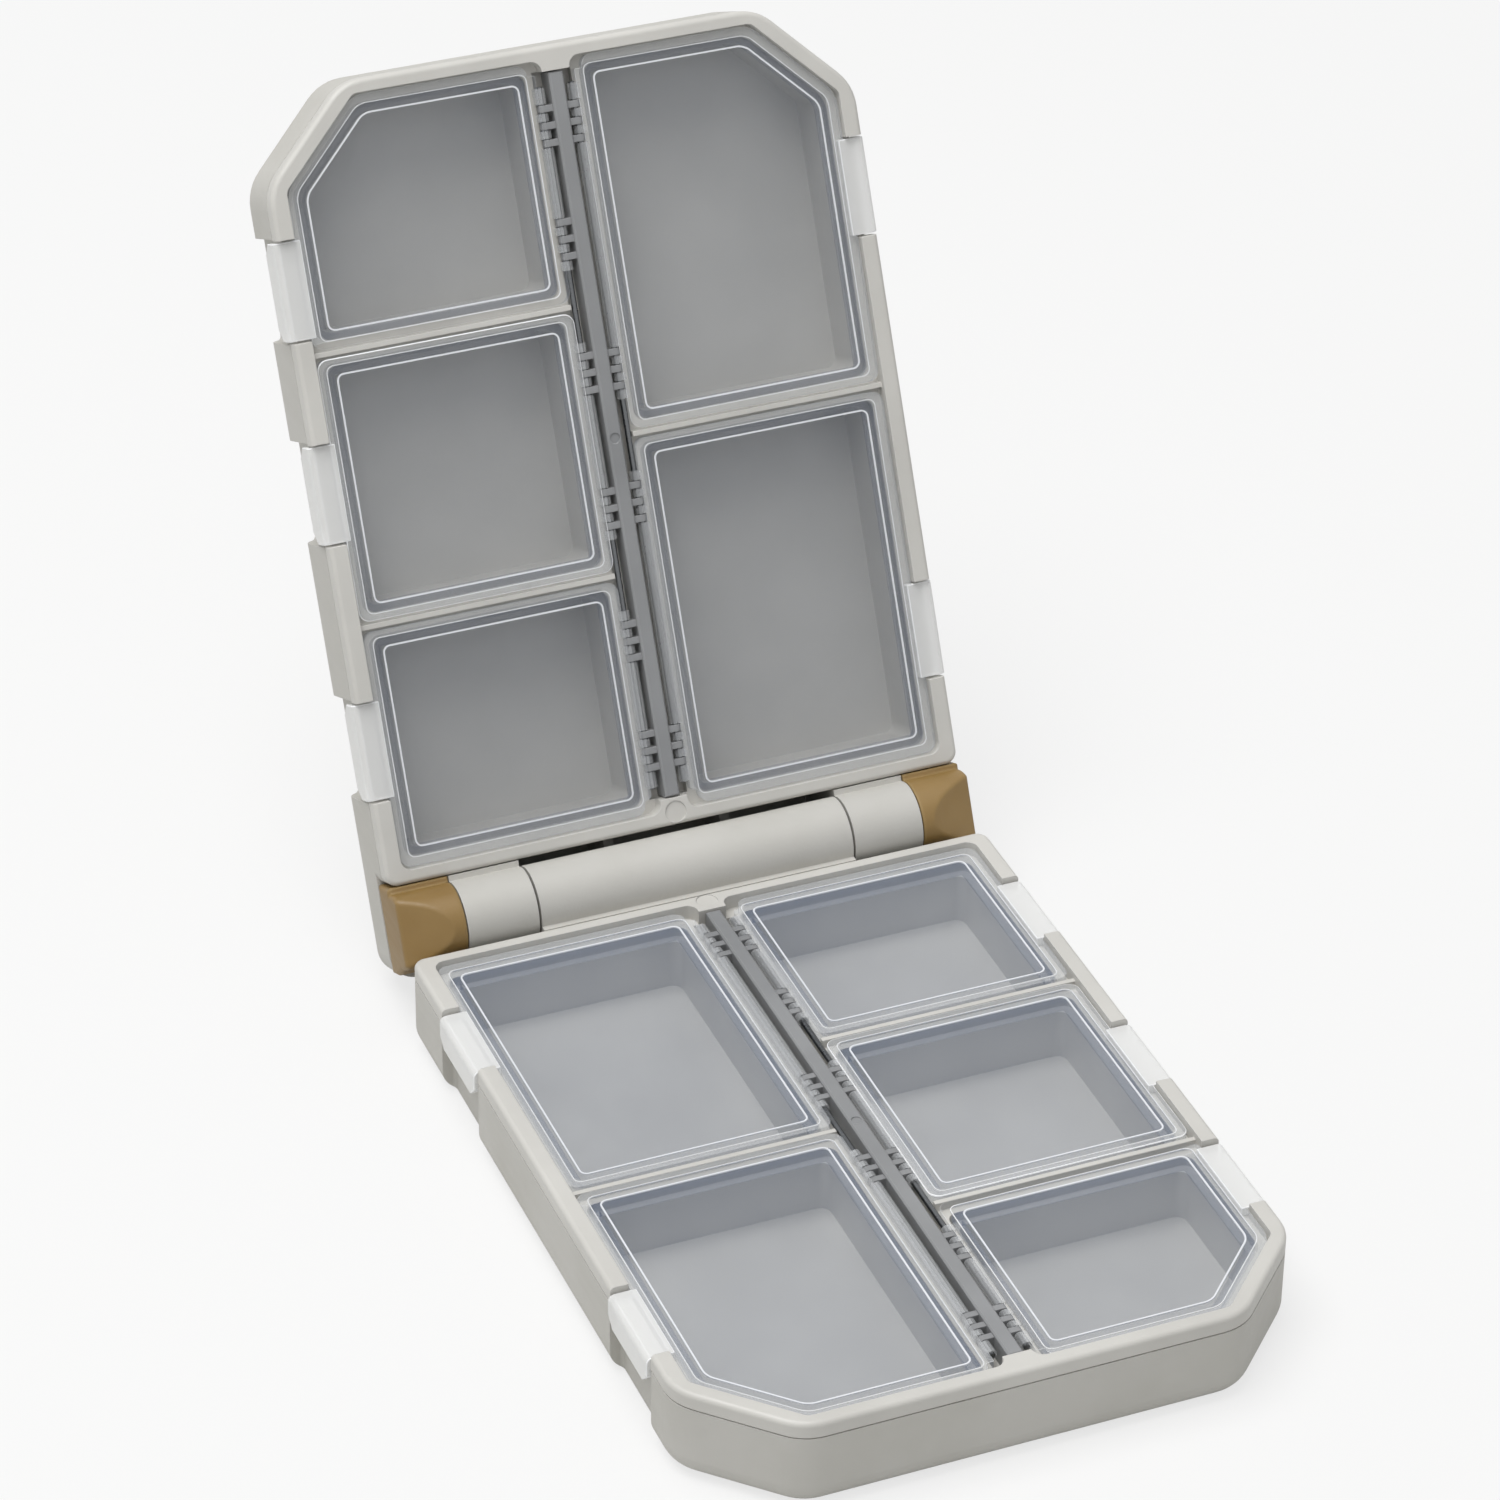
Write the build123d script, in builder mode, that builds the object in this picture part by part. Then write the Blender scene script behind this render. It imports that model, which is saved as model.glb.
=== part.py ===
import os

from build123d import *

# A pocket fishing rig box: two shallow halves on one hinge, each with an outer shell, an inner
# compartment tray, a spine bar and five small lids that swing on two steel pins.
#
# Each half is drawn lying open on its back: local X runs across it, local Y runs outwards from
# the hinge axis and local Z points out of the compartments. Local Z 0 is the parting plane, which
# also holds the hinge axis. The small lids stand at negative X and the large ones at positive X.

# Whole box, mm
HALF_WIDTH = 36.2
HALF_DEPTH = 12.0
END_Y = 97.9
HINGE_WALL_Y = 5.3
HEEL_Y = -6.5
CORNER_LEG = 10.7
CORNER_ROUND = 6.0
HINGE_CORNER_ROUND = 1.5
HEEL_ROUND = 3.0
LEAST_ROUND = 0.3
BASE_ROUND = 3.0
REST_ANGLE = 116.0
BASE_CENTRE_Y = 52.0

# Shell
SHELL_WALL = 1.2
SHELL_FLOOR = 1.2
SHELL_TOP = -2.25
EAR_TOP = -4.5
SCOOP_DEPTH = 1.6
SCOOP_LENGTH = 12.2
SCOOP_EDGE = 0.5
SCOOP_PAD = 1.5
TROUGH_RIB_X = 7.4
TROUGH_RIB_WIDTH = 1.2
TROUGH_RIB_TOP = -4.9

# Tray
RIM_TOP = -0.15
RIM_EDGE = 0.6
RIM_GROOVE = 0.2
PLATE_TOP = -2.05
PLATE_BOTTOM = -3.5
TUB_WALL = 1.0
TUB_ROUND = 1.3
TUB_GAP = 0.1
TRAY_CLEARANCE = 0.1
REBATE = 1.0
REBATE_BOTTOM = -3.3
FLOOR_TOP = -9.7
CHANNEL_HALF = 2.4
CHANNEL_WALL = 0.6
CHANNEL_FLOOR = 1.2
BRIDGE_HALF = 1.7
BRIDGE_GAP = 0.15
GATE_MARK_R = 1.3
GATE_MARK_Y = 6.85
GATE_MARK_DEPTH = 0.15

# Windows of the lids, as (first y, last y, y of the latch tab) from the hinge outwards
WINDOW_IN = 4.35
WINDOW_OUT = 32.0
WINDOW_LEG = 8.4
SMALL_WINDOWS = [(9.0, 33.4, 21.3), (37.9, 65.3, 51.6), (69.8, 94.2, 75.3)]
LARGE_WINDOWS = [(9.0, 49.4, 21.8), (53.9, 94.2, 75.3)]

# Lids
LID_TOP = -0.8
LID_THICK = 1.1
LID_LAP = 1.9
LID_LAP_NEXT = 1.65
DIVIDER_WIDTH = 0.6
DIVIDER_TOP = -1.0
LID_ROUND = 1.3
LID_POCKET_GAP = 0.2
LID_CORNER_IN = 3.4
LID_PLATE_IN = 2.45
LID_STRIP_WIDTH = 4.0
WINDOW_RIB = 0.85
WINDOW_RIB_DROP = 1.1
WINDOW_ROUND = 0.9
TAB_LENGTH = 11.4
TAB_OUT = 36.6
TAB_THICK = 0.95
TAB_SHOULDER = 0.8
TAB_BOTTOM = -4.6
TAB_CORNER = 1.3
TAB_BEAD = 0.2
TAB_BEAD_Z = (-4.0, -3.5)
TAB_GAP = 0.25

# Spine bar, lid pins and the lids' hinge rolls
PIN_X = 2.0
PIN_Z = -1.35
PIN_R = 0.35
PIN_FIT = 0.05
PIN_OVERHANG = 0.15
ROLL_R = 0.6
BAR_HALF = 0.9
BAR_TOP = -0.3
BAR_BOTTOM = -3.25
BAR_START = 8.7
BAR_END = 94.8
BAR_EDGE = 0.2
ROLL_INSET_OUTER = 3.0
ROLL_INSET_INNER = 3.7
LUG_COUNT = 3
LUG_PITCH = 2.0
LUG_WIDTH = 0.8
LUG_SLOT = 1.1
LUG_GAP = 0.15
LUG_FROM_OUTER = 2.4
LUG_FROM_INNER = 1.6

# Main hinge
BARREL_R = 4.5
BARREL_HALF = 19.7
KNUCKLE_START = 20.0
KNUCKLE_END = 28.7
WEB_TOP = -0.4
WEB_GAP = 0.1
AXLE_R = 1.5
AXLE_FIT = 0.05
AXLE_HALF = 33.0
CAP_START = 28.85
CAP_BORE_END = 33.3
CAP_HEEL = 5.5
CAP_HEEL_TOP = -2.4
CAP_BOTTOM = -4.4
CAP_EDGE = 0.5
FACET_START = 30.3
FACET_DROP = 2.5

# How far blocks of one moulding reach into each other, how far a cut runs past a surface, and how
# much longer a cut-off corner's leg gets for each mm that the outline grows
BITE = 0.1
FAR = 5.0
LEG_GROWTH = 2 - 2**0.5

AXIS = Vector(0, BASE_CENTRE_Y, HALF_DEPTH)
LOWER = Plane(origin=AXIS, x_dir=(-1, 0, 0), z_dir=(0, 0, 1))
UPPER = Plane(origin=AXIS, x_dir=(1, 0, 0), z_dir=(0, 0, -1)).rotated((-REST_ANGLE, 0, 0))


def corner_points(x_in, x_out, y_start, y_end, leg):
    """Corners of a cell whose outer far corner is cut off by leg; a leg of 0 leaves it square."""
    far = [(x_out, y_end)]
    if leg:
        cut = leg if x_out > 0 else -leg
        far = [(x_out, y_end - leg), (x_out - cut, y_end)]
    return [(x_in, y_start), (x_out, y_start), *far, (x_in, y_end)]


def cell_points(side, window, grow, last):
    """A lid's window, grown by grow all round. side is -1 for the small lids, 1 for the large."""
    leg = WINDOW_LEG + grow * LEG_GROWTH if last else 0
    return corner_points(
        side * (WINDOW_IN - grow),
        side * (WINDOW_OUT + grow),
        window[0] - grow,
        window[1] + grow,
        leg,
    )


def outline(start_y, inset, near_round):
    """The plan of a half from start_y outwards, pulled in by inset, as a sketch face."""
    x, y = HALF_WIDTH - inset, END_Y - inset
    leg = CORNER_LEG - inset * LEG_GROWTH
    near = [(-x, start_y + inset), (x, start_y + inset)]
    far = [(x, y - leg), (x - leg, y), (leg - x, y), (-x, y - leg)]
    with BuildSketch(mode=Mode.PRIVATE) as plan:
        with BuildLine():
            Polyline(*near, *far, close=True)
        make_face()
        fillet(plan.vertices().sort_by(Axis.Y)[:2], max(near_round - inset, LEAST_ROUND))
        fillet(plan.vertices().filter_by(lambda v: v.Y > y - leg - 1), CORNER_ROUND - inset)
    return plan.sketch


def slab(half, face, low, high, mode=Mode.ADD):
    """Extrude a plan between two heights of a half."""
    with BuildSketch(half.offset(low)) as plan:
        add(face)
    extrude(plan.sketch, amount=high - low, mode=mode)


def block(half, x_range, y_range, z_range, mode=Mode.ADD):
    """A square block given by its ranges in a half's own directions."""
    x_mid, y_mid = sum(x_range) / 2, sum(y_range) / 2
    with BuildSketch(half.offset(z_range[0])) as plan:
        with Locations((x_mid, y_mid)):
            Rectangle(abs(x_range[1] - x_range[0]), abs(y_range[1] - y_range[0]))
    extrude(plan.sketch, amount=z_range[1] - z_range[0], mode=mode)


def cell(half, points, low, high, rounding, mode=Mode.ADD):
    """Extrude a rounded polygon between two heights of a half."""
    with BuildSketch(half.offset(low)) as plan:
        with BuildLine():
            Polyline(*points, close=True)
        make_face()
        fillet(plan.vertices(), rounding)
    extrude(plan.sketch, amount=high - low, mode=mode)


def across(half, x):
    """The plane that cuts a half at x: its own x runs outwards and its own y upwards."""
    return Plane(
        origin=half.from_local_coords((x, 0, 0)), x_dir=tuple(half.y_dir), z_dir=tuple(half.x_dir)
    )


def along(half, y):
    """The plane that cuts a half at y, looking outwards: its own x runs from right to left."""
    return Plane(
        origin=half.from_local_coords((0, y, 0)),
        x_dir=tuple(half.x_dir * -1),
        z_dir=tuple(half.y_dir),
    )


def rod_across(half, x_from, x_to, radius, mode=Mode.ADD):
    """A cylinder on the hinge axis."""
    with BuildSketch(across(half, x_from)) as plan:
        Circle(radius)
    extrude(plan.sketch, amount=x_to - x_from, mode=mode)


def rod_along(half, x, y_from, y_to, radius, mode=Mode.ADD):
    """A cylinder along a lid pin."""
    with BuildSketch(along(half, y_from)) as plan:
        with Locations((-x, PIN_Z)):
            Circle(radius)
    extrude(plan.sketch, amount=y_to - y_from, mode=mode)


def lids_of(side):
    """Each lid of a side as (window, is it first, is it last, its y range, roll start and end, lugs)."""
    windows = SMALL_WINDOWS if side < 0 else LARGE_WINDOWS
    found = []
    for index, window in enumerate(windows):
        first, last = index == 0, index == len(windows) - 1
        y_range = (
            window[0] - (LID_LAP if first else LID_LAP_NEXT),
            window[1] + (LID_LAP if last else LID_LAP_NEXT),
        )
        start = y_range[0] + (ROLL_INSET_OUTER if first else ROLL_INSET_INNER)
        end = y_range[1] - (ROLL_INSET_OUTER if last else ROLL_INSET_INNER)
        near = LUG_FROM_OUTER if first else LUG_FROM_INNER
        far = LUG_FROM_OUTER if last else LUG_FROM_INNER
        lugs = [start + near + LUG_PITCH * k for k in range(LUG_COUNT)]
        lugs += [end - far - LUG_PITCH * k for k in range(LUG_COUNT)]
        found.append((window, first, last, y_range, (start, end), sorted(lugs)))
    return found


def tabs():
    """Each latch tab's place, as (side, y)."""
    return [(side, window[2]) for side in (-1, 1) for window, *_ in lids_of(side)]


def make_shell(half, is_upper):
    """The outer cover: floor, walls, finger scoops under the tabs, and its part of the hinge."""
    start = HEEL_Y if is_upper else HINGE_WALL_Y
    near_round = HEEL_ROUND if is_upper else HINGE_CORNER_ROUND
    floor = -HALF_DEPTH + SHELL_FLOOR
    with BuildPart() as shell:
        slab(half, outline(start, 0, near_round), -HALF_DEPTH, EAR_TOP)
        bottom = shell.faces().sort_by(lambda f: half.to_local_coords(f.center()).Z)[0]
        edges = bottom.edges()
        if not is_upper:
            edges = edges.filter_by(lambda e: half.to_local_coords(e.center()).Y > HINGE_WALL_Y + 1)
        fillet(edges, BASE_ROUND)
        slab(half, outline(HINGE_WALL_Y, 0, HINGE_CORNER_ROUND), EAR_TOP, SHELL_TOP)
        inner = outline(HINGE_WALL_Y, SHELL_WALL, HINGE_CORNER_ROUND)
        slab(half, inner, floor, SHELL_TOP + FAR, mode=Mode.SUBTRACT)
        for side, y in tabs():
            outside = side * (HALF_WIDTH + FAR)
            wall_in = side * (HALF_WIDTH - SHELL_WALL)
            pad_x = (wall_in - side * SCOOP_PAD, wall_in + side * BITE)
            pad_y = (y - SCOOP_LENGTH / 2 - SHELL_WALL, y + SCOOP_LENGTH / 2 + SHELL_WALL)
            block(half, pad_x, pad_y, (floor - BITE, PLATE_BOTTOM - TRAY_CLEARANCE))
            with BuildSketch(half.offset(-HALF_DEPTH - FAR)):
                with Locations((side * (HALF_WIDTH - SCOOP_DEPTH + FAR / 2), y)):
                    RectangleRounded(FAR, SCOOP_LENGTH, SCOOP_EDGE)
            extrude(amount=2 * FAR + HALF_DEPTH, mode=Mode.SUBTRACT)
            notch_y = (y - TAB_LENGTH / 2 - TAB_GAP, y + TAB_LENGTH / 2 + TAB_GAP)
            tab_in = side * (TAB_OUT - TAB_THICK - TAB_BEAD - TAB_GAP)
            block(half, (tab_in, outside), notch_y, (TAB_BOTTOM - TAB_GAP, FAR), Mode.SUBTRACT)
            lip_in = wall_in - side * TRAY_CLEARANCE
            lip_z = (REBATE_BOTTOM - TRAY_CLEARANCE, FAR)
            block(half, (lip_in, outside), notch_y, lip_z, Mode.SUBTRACT)
        if is_upper:
            trough_half = HALF_WIDTH - SHELL_WALL
            trough_y = (HEEL_Y + SHELL_WALL, HINGE_WALL_Y)
            block(half, (-trough_half, trough_half), trough_y, (floor, FAR), Mode.SUBTRACT)
            wall_y = (trough_y[0] - BITE, HINGE_WALL_Y + BITE)
            for side in (-1, 1):
                rib_x = (
                    side * (TROUGH_RIB_X - TROUGH_RIB_WIDTH / 2),
                    side * (TROUGH_RIB_X + TROUGH_RIB_WIDTH / 2),
                )
                block(half, rib_x, wall_y, (floor - BITE, TROUGH_RIB_TOP))
                for x in (KNUCKLE_START, KNUCKLE_END - SHELL_WALL):
                    block(half, (side * x, side * (x + SHELL_WALL)), wall_y, (floor - BITE, EAR_TOP))
                add_barrel(half, *sorted((side * KNUCKLE_START, side * KNUCKLE_END)), EAR_TOP - BITE)
        else:
            add_barrel(half, -BARREL_HALF, BARREL_HALF, EAR_TOP)
        rod_across(half, -HALF_WIDTH, HALF_WIDTH, AXLE_R + AXLE_FIT, Mode.SUBTRACT)
    return shell


def add_barrel(half, x_from, x_to, web_bottom):
    """A length of the hinge's barrel, with the web that carries it from the hinge wall."""
    rod_across(half, x_from, x_to, BARREL_R)
    block(half, (x_from, x_to), (0, HINGE_WALL_Y + BITE), (web_bottom, SHELL_TOP))
    block(half, (x_from, x_to), (0, HINGE_WALL_Y - WEB_GAP), (SHELL_TOP - BITE, WEB_TOP))


def make_tray(half):
    """The compartment tray: rim, plate, tubs, and the channel for the spine bar."""
    pocket_out = WINDOW_OUT + LID_LAP + LID_POCKET_GAP
    with BuildPart() as tray:
        slab(half, outline(HINGE_WALL_Y, 0, HINGE_CORNER_ROUND), SHELL_TOP, RIM_TOP)
        rim = tray.faces().sort_by(lambda f: half.to_local_coords(f.center()).Z)
        fillet(rim[-1].edges(), RIM_EDGE)
        rim = tray.faces().sort_by(lambda f: half.to_local_coords(f.center()).Z)
        chamfer(rim[0].edges(), RIM_GROOVE)
        inset = SHELL_WALL + TRAY_CLEARANCE
        slab(half, outline(HINGE_WALL_Y, inset, HINGE_CORNER_ROUND), PLATE_BOTTOM, SHELL_TOP + BITE)
        for side in (-1, 1):
            for window, _, last, *_ in lids_of(side):
                tub = cell_points(side, window, TUB_GAP + TUB_WALL, last)
                tub_z = (FLOOR_TOP - SHELL_FLOOR + TRAY_CLEARANCE, PLATE_BOTTOM + BITE)
                cell(half, tub, *tub_z, TUB_ROUND + TUB_WALL)
        spine_x = CHANNEL_HALF + CHANNEL_WALL
        spine_y = (BAR_START - 1, BAR_END + 1)
        block(half, (-spine_x, spine_x), spine_y, (BAR_BOTTOM - CHANNEL_FLOOR, PLATE_BOTTOM + BITE))
        for side, y in tabs():
            reach = TAB_LENGTH / 2 + TAB_GAP
            notch_y = (y - reach, y + reach)
            lip_out = side * (TAB_OUT - TAB_THICK - TAB_GAP - TAB_BEAD)
            lip = (side * (HALF_WIDTH - SHELL_WALL - TAB_GAP), lip_out)
            lip_y = (notch_y[0] + TRAY_CLEARANCE, notch_y[1] - TRAY_CLEARANCE)
            block(half, lip, lip_y, (REBATE_BOTTOM, PLATE_TOP))
            outside = side * (HALF_WIDTH + FAR)
            block(half, (lip_out, outside), notch_y, (-FAR, FAR), Mode.SUBTRACT)
            above = (side * (HALF_WIDTH - FAR), outside)
            block(half, above, notch_y, (PLATE_TOP, FAR), Mode.SUBTRACT)
        for side in (-1, 1):
            pocket = corner_points(
                side * BRIDGE_HALF,
                side * pocket_out,
                SMALL_WINDOWS[0][0] - LID_LAP - LID_POCKET_GAP,
                SMALL_WINDOWS[-1][1] + LID_LAP + LID_POCKET_GAP,
                WINDOW_LEG + (LID_LAP + LID_POCKET_GAP) * LEG_GROWTH,
            )
            cell(half, pocket, PLATE_TOP, FAR, LID_ROUND, Mode.SUBTRACT)
            for window, _, last, *_ in lids_of(side):
                rebate = cell_points(side, window, REBATE, last)
                cell(half, rebate, REBATE_BOTTOM, FAR, LID_ROUND, Mode.SUBTRACT)
                hollow = cell_points(side, window, TUB_GAP, last)
                cell(half, hollow, FLOOR_TOP, FAR, TUB_ROUND, Mode.SUBTRACT)
        channel_y = (BAR_START - BRIDGE_GAP, BAR_END + BRIDGE_GAP)
        bridge_x = BRIDGE_HALF + LID_ROUND
        block(half, (-bridge_x, bridge_x), channel_y, (PLATE_TOP, FAR), Mode.SUBTRACT)
        block(half, (-CHANNEL_HALF, CHANNEL_HALF), channel_y, (BAR_BOTTOM, FAR), Mode.SUBTRACT)
        for side, windows in ((-1, SMALL_WINDOWS), (1, LARGE_WINDOWS)):
            for before, after in zip(windows, windows[1:]):
                y = (before[1] + after[0]) / 2
                divider_x = (side * (CHANNEL_HALF + BITE), side * (pocket_out + BITE))
                divider_y = (y - DIVIDER_WIDTH / 2, y + DIVIDER_WIDTH / 2)
                block(half, divider_x, divider_y, (PLATE_TOP - BITE, DIVIDER_TOP))
        with BuildSketch(half.offset(RIM_TOP - GATE_MARK_DEPTH)):
            with Locations((0, GATE_MARK_Y)):
                Circle(GATE_MARK_R)
        extrude(amount=FAR, mode=Mode.SUBTRACT)
    return tray


def make_lid(half, side, window, first, last, y_range, roll, lugs):
    """One compartment lid: plate, underside rib, hinge roll and latch tab."""
    low = LID_TOP - LID_THICK
    with BuildPart() as lid:
        leg = WINDOW_LEG + LID_LAP * LEG_GROWTH if last else 0
        plate = corner_points(side * LID_CORNER_IN, side * (WINDOW_OUT + LID_LAP), *y_range, leg)
        cell(half, plate, low, LID_TOP, LID_ROUND)
        strip_y = (
            BAR_START + BRIDGE_GAP if first else y_range[0],
            BAR_END - BRIDGE_GAP if last else y_range[1],
        )
        strip_out = side * (LID_PLATE_IN + LID_STRIP_WIDTH)
        cell(half, corner_points(side * LID_PLATE_IN, strip_out, *strip_y, 0), low, LID_TOP, LID_ROUND)
        tab_y = (window[2] - TAB_LENGTH / 2, window[2] + TAB_LENGTH / 2)
        block(half, (side * WINDOW_OUT, side * TAB_OUT), tab_y, (low, LID_TOP))
        block(half, (side * (TAB_OUT - TAB_THICK), side * TAB_OUT), tab_y, (TAB_BOTTOM, LID_TOP))
        shoulder = [
            e
            for e in lid.edges().filter_by(Axis((0, 0, 0), tuple(half.y_dir)))
            if abs(half.to_local_coords(e.center()).X) > TAB_OUT - 0.01
            and half.to_local_coords(e.center()).Z > LID_TOP - 0.01
        ]
        fillet(shoulder, TAB_SHOULDER)
        corners = [
            e
            for e in lid.edges().filter_by(Axis((0, 0, 0), tuple(half.x_dir)))
            if half.to_local_coords(e.center()).Z < TAB_BOTTOM + 0.01
        ]
        chamfer(corners, TAB_CORNER)
        bead_x = (side * (TAB_OUT - TAB_THICK - TAB_BEAD), side * (TAB_OUT - TAB_THICK + BITE))
        bead_y = (tab_y[0] + TAB_CORNER, tab_y[1] - TAB_CORNER)
        block(half, bead_x, bead_y, TAB_BEAD_Z)
        rib_z = (low - WINDOW_RIB_DROP, low)
        cell(half, cell_points(side, window, WINDOW_RIB, last), *rib_z, LID_ROUND)
        cell(half, cell_points(side, window, 0, last), *rib_z, WINDOW_ROUND, Mode.SUBTRACT)
        rod_along(half, side * PIN_X, *roll, ROLL_R)
        block(half, (side * PIN_X, side * (LID_PLATE_IN + BITE)), roll, (low, LID_TOP))
        for y in lugs:
            slot_x = (0, side * (PIN_X + ROLL_R + LUG_GAP))
            slot_y = (y - LUG_SLOT / 2, y + LUG_SLOT / 2)
            block(half, slot_x, slot_y, (-FAR, FAR), Mode.SUBTRACT)
        rod_along(half, side * PIN_X, roll[0] - 1, roll[1] + 1, PIN_R + PIN_FIT, Mode.SUBTRACT)
    return lid


def make_bar(half):
    """The spine bar, with lugs between the lids' rolls for the two pins."""
    with BuildPart() as bar:
        block(half, (-BAR_HALF, BAR_HALF), (BAR_START, BAR_END), (BAR_BOTTOM, BAR_TOP))
        top = bar.faces().sort_by(lambda f: half.to_local_coords(f.center()).Z)[-1]
        chamfer(top.edges(), BAR_EDGE)
        for side in (-1, 1):
            for *_, lugs in lids_of(side):
                for y in lugs:
                    span = (y - LUG_WIDTH / 2, y + LUG_WIDTH / 2)
                    root = (side * (BAR_HALF - BITE), side * PIN_X)
                    block(half, root, span, (PIN_Z - ROLL_R, PIN_Z + ROLL_R))
                    rod_along(half, side * PIN_X, *span, ROLL_R)
            rod_along(half, side * PIN_X, BAR_START - 1, BAR_END + 1, PIN_R, Mode.SUBTRACT)
        middle = (LARGE_WINDOWS[0][1] + LARGE_WINDOWS[1][0]) / 2
        with BuildSketch(half.offset(BAR_TOP - GATE_MARK_DEPTH)):
            with Locations((0, middle)):
                Circle(BAR_HALF * 0.7)
        extrude(amount=FAR, mode=Mode.SUBTRACT)
    return bar


def make_pin(half, side):
    """A steel pin that carries one side's lids."""
    rolls = [y for *_, roll, _ in lids_of(side) for y in roll]
    with BuildPart() as pin:
        rod_along(half, side * PIN_X, rolls[0] - PIN_OVERHANG, rolls[-1] + PIN_OVERHANG, PIN_R)
    return pin


def make_cap(half, side):
    """A hinge end cap: round like the knuckle beside it, square below, its outer end cut away."""
    cap_end = HALF_WIDTH
    web_y = HINGE_WALL_Y - WEB_GAP
    web_start = ((BARREL_R**2 - WEB_TOP**2) ** 0.5, WEB_TOP)
    slope = FACET_DROP / (cap_end - FACET_START)
    with BuildPart() as cap:
        with BuildSketch(across(half, side * CAP_START)) as profile:
            with BuildLine():
                ThreePointArc(web_start, (0, BARREL_R), (-BARREL_R, 0))
                Polyline(
                    (-BARREL_R, 0),
                    (-CAP_HEEL, CAP_HEEL_TOP),
                    (-CAP_HEEL, CAP_BOTTOM),
                    (web_y, CAP_BOTTOM),
                    (web_y, WEB_TOP),
                    web_start,
                )
            make_face()
        extrude(profile.sketch, amount=side * (cap_end - CAP_START))
        end = cap.faces().sort_by(lambda f: abs(half.to_local_coords(f.center()).X))[-1]
        fillet(end.edges(), CAP_EDGE)
        with BuildSketch(along(half, -2 * FAR)) as facet:
            with BuildLine():
                Polyline(
                    (-side * (FACET_START - 1), BARREL_R + slope),
                    (-side * (cap_end + 1), BARREL_R - FACET_DROP - slope),
                    (-side * (cap_end + 1), BARREL_R + FAR),
                    (-side * (FACET_START - 1), BARREL_R + FAR),
                    close=True,
                )
            make_face()
        extrude(facet.sketch, amount=4 * FAR, mode=Mode.SUBTRACT)
        end = cap.faces().sort_by(lambda f: abs(half.to_local_coords(f.center()).X))[-1]
        fillet(end.edges().sort_by(lambda e: half.to_local_coords(e.center()).Z)[-1], CAP_EDGE)
        rod_across(half, *sorted((side * (CAP_START - 1), side * CAP_BORE_END)), AXLE_R, Mode.SUBTRACT)
    return cap


def save(name, built):
    """Label a finished piece and write it."""
    built.part.label = name
    export_step(built.part, f"parts/{name}.step")


os.makedirs("parts", exist_ok=True)

for half_name, plane in (("lower", LOWER), ("upper", UPPER)):
    save(f"{half_name}_shell", make_shell(plane, half_name == "upper"))
    save(f"{half_name}_tray", make_tray(plane))
    save(f"{half_name}_spine_bar", make_bar(plane))
    for side, size in ((-1, "small"), (1, "large")):
        save(f"{half_name}_{size}_lid_pin", make_pin(plane, side))
        places = ("inner", "middle", "outer") if side < 0 else ("inner", "outer")
        for place, lid in zip(places, lids_of(side)):
            save(f"{half_name}_{size}_lid_{place}", make_lid(plane, side, *lid))

with BuildPart() as axle:
    rod_across(UPPER, -AXLE_HALF, AXLE_HALF, AXLE_R)
save("hinge_axle", axle)

save("left_hinge_cap", make_cap(UPPER, -1))
save("right_hinge_cap", make_cap(UPPER, 1))
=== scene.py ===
# %% [markdown]
# # A pocket fishing rig box
# The box has two shallow halves on one hinge. Each half is a grained outer shell with a satin tray
# pressed into it, and ten small clear lids cover the compartments. The solid parts come from the
# imported CAD model, which is loaded first and stays where it is. This script gives them their
# finishes, and models the ten clear lids again with the fine steps, and with painted highlights on
# the edges and lines that look bright.

import math

import bmesh
import bpy
from mathutils import Matrix, Vector


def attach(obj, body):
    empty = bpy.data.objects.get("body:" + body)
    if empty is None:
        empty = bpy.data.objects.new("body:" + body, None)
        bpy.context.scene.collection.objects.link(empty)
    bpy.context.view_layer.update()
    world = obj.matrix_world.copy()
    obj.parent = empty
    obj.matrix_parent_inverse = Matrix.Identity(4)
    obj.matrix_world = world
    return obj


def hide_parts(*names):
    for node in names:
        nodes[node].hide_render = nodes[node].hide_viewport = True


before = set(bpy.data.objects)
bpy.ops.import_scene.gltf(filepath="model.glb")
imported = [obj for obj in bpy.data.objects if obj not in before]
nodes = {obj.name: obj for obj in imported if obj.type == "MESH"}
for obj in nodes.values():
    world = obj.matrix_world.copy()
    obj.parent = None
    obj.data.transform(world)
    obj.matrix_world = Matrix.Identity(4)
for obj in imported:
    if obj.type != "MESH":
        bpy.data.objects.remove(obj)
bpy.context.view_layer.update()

# %% [markdown]
# ## The camera
# A camera is a place, three directions and a focal length. The photograph was taken with a long
# lens from the front left and well above the box, so its lines hardly converge. Writing the three
# directions as the columns of a matrix gives the same view again without any tracking target.

# %% Camera
MM = 0.001
camera_place = Vector((-210.6, -473.2, 412.0)) * MM
camera_right = Vector((0.926038, -0.377262, 0.011249))
camera_up = Vector((0.202890, 0.522709, 0.828016))
camera_back = camera_right.cross(camera_up)
lens_data = bpy.data.cameras.new("photo_camera")
lens_data.sensor_width = 36.0
lens_data.lens = 140.82
lens_data.clip_start = 0.01
camera = bpy.data.objects.new("photo_camera", lens_data)
turn = Matrix((camera_right, camera_up, camera_back)).transposed().to_4x4()
camera.matrix_world = Matrix.Translation(camera_place) @ turn
bpy.context.scene.collection.objects.link(camera)
bpy.context.scene.camera = camera
bpy.context.scene.view_settings.view_transform = "Standard"
print("camera", [round(v, 4) for v in camera_place], "lens", lens_data.lens)

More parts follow.
